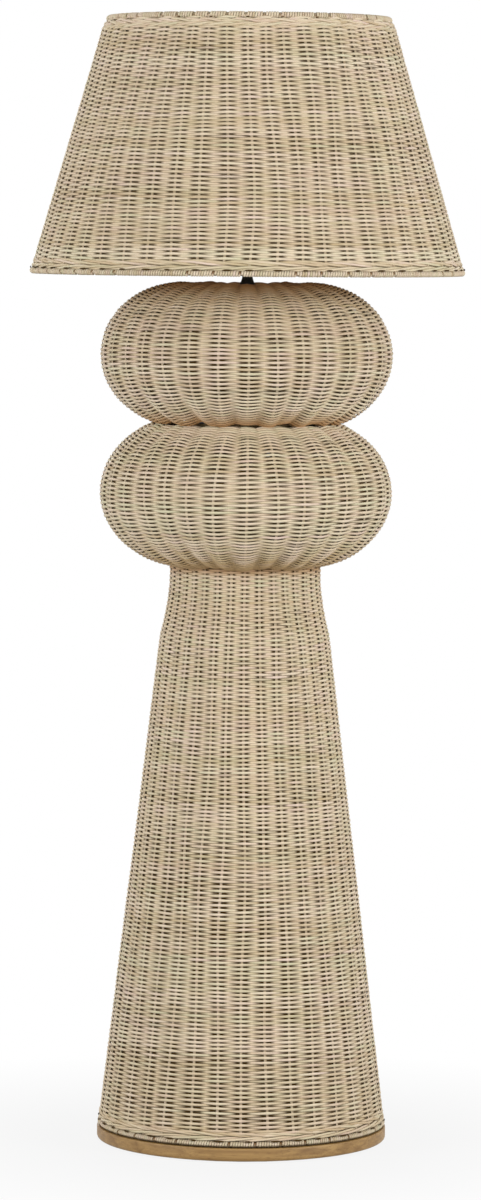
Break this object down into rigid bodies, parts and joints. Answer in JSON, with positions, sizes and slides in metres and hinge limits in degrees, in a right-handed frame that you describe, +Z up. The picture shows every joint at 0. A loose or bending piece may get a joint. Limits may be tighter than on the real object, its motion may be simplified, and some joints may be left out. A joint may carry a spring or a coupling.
{
  "type": "floor lamp",
  "caption": "Woven rattan floor lamp with a tapered column, two round gourds, a weighted wooden base and a tapered woven shade that turns on a harp.",
  "frame": {"origin": "on the floor, below the middle of the round base", "axes": "+Z up along the centre tube, -Y towards the pictured front and the socket's switch knob, +Y towards the cord outlet at the back of the base, +X to the right as seen from the front"},
  "size_m": [0.5978, 0.5978, 1.5497],
  "materials": {
    "rattan": "natural woven cane, satin",
    "pole": "raw cane pole",
    "oak": "satin lacquer",
    "plywood": "raw",
    "felt": "felt",
    "cast_iron": "raw",
    "steel": "zinc plated",
    "black_metal": "satin black",
    "brass": "raw",
    "phenolic": "moulded",
    "rubber": "moulded",
    "frosted_glass": "frosted white inside"
  },
  "bodies": {
    "stand": {"base_felt": "felt", "base_board": "oak", "cord_bushing": "rubber", "ballast_plate": "cast_iron", "base_washer": "steel", "base_nut": "steel", "ballast_nut": "steel", "center_tube": "steel", "column_foot_border": "rattan", "column_weave": "rattan", "column_mid_hoop": "pole", "column_rod_1": "pole", "column_rod_2": "pole", "column_rod_3": "pole", "column_rod_4": "pole", "neck_board": "plywood", "neck_clamp_plate": "steel", "neck_nut": "steel", "lower_gourd_weave": "rattan", "pinch_board": "plywood", "pinch_clamp_plate": "steel", "pinch_nut": "steel", "upper_gourd_weave": "rattan", "crown_board": "plywood", "neck_cap": "black_metal", "harp_saddle": "black_metal", "harp": "black_metal", "socket_cap": "black_metal", "socket_shell": "black_metal", "switch_block": "phenolic", "screw_shell": "brass"},
    "ferrule_left": {"harp_ferrule_left": "black_metal"},
    "ferrule_right": {"harp_ferrule_right": "black_metal"},
    "knob": {"switch_knob": "phenolic"},
    "bulb": {"bulb_screw_cap": "steel", "bulb_globe": "frosted_glass"},
    "shade": {"shade_weave": "rattan", "shade_top_border": "rattan", "shade_bottom_border": "rattan", "shade_top_ring": "black_metal", "shade_bottom_ring": "black_metal", "shade_upright_1": "black_metal", "shade_upright_2": "black_metal", "shade_upright_3": "black_metal", "shade_upright_4": "black_metal", "shade_upright_5": "black_metal", "shade_upright_6": "black_metal", "shade_spider": "black_metal"},
    "finial": {"finial": "black_metal"}
  },
  "joints": [
    {"name": "shade_turn", "type": "hinge", "parent": "stand", "child": "shade", "pos_m": [0, 0, 1.5242], "axis": [0, 0, 1], "continuous": true},
    {"name": "finial_turn", "type": "hinge", "parent": "stand", "child": "finial", "pos_m": [0, 0, 1.53], "axis": [0, 0, 1], "continuous": true},
    {"name": "bulb_turn", "type": "hinge", "parent": "stand", "child": "bulb", "pos_m": [0, 0, 1.27], "axis": [0, 0, 1], "continuous": true},
    {"name": "switch_knob_turn", "type": "hinge", "parent": "stand", "child": "knob", "pos_m": [0, -0.03, 1.24735], "axis": [0, -1, 0], "continuous": true},
    {"name": "harp_ferrule_left_lift", "type": "slide", "parent": "stand", "child": "ferrule_left", "axis": [0, 0, 1], "range_m": [0, 0.01]},
    {"name": "harp_ferrule_right_lift", "type": "slide", "parent": "stand", "child": "ferrule_right", "axis": [0, 0, 1], "range_m": [0, 0.01]}
  ]
}
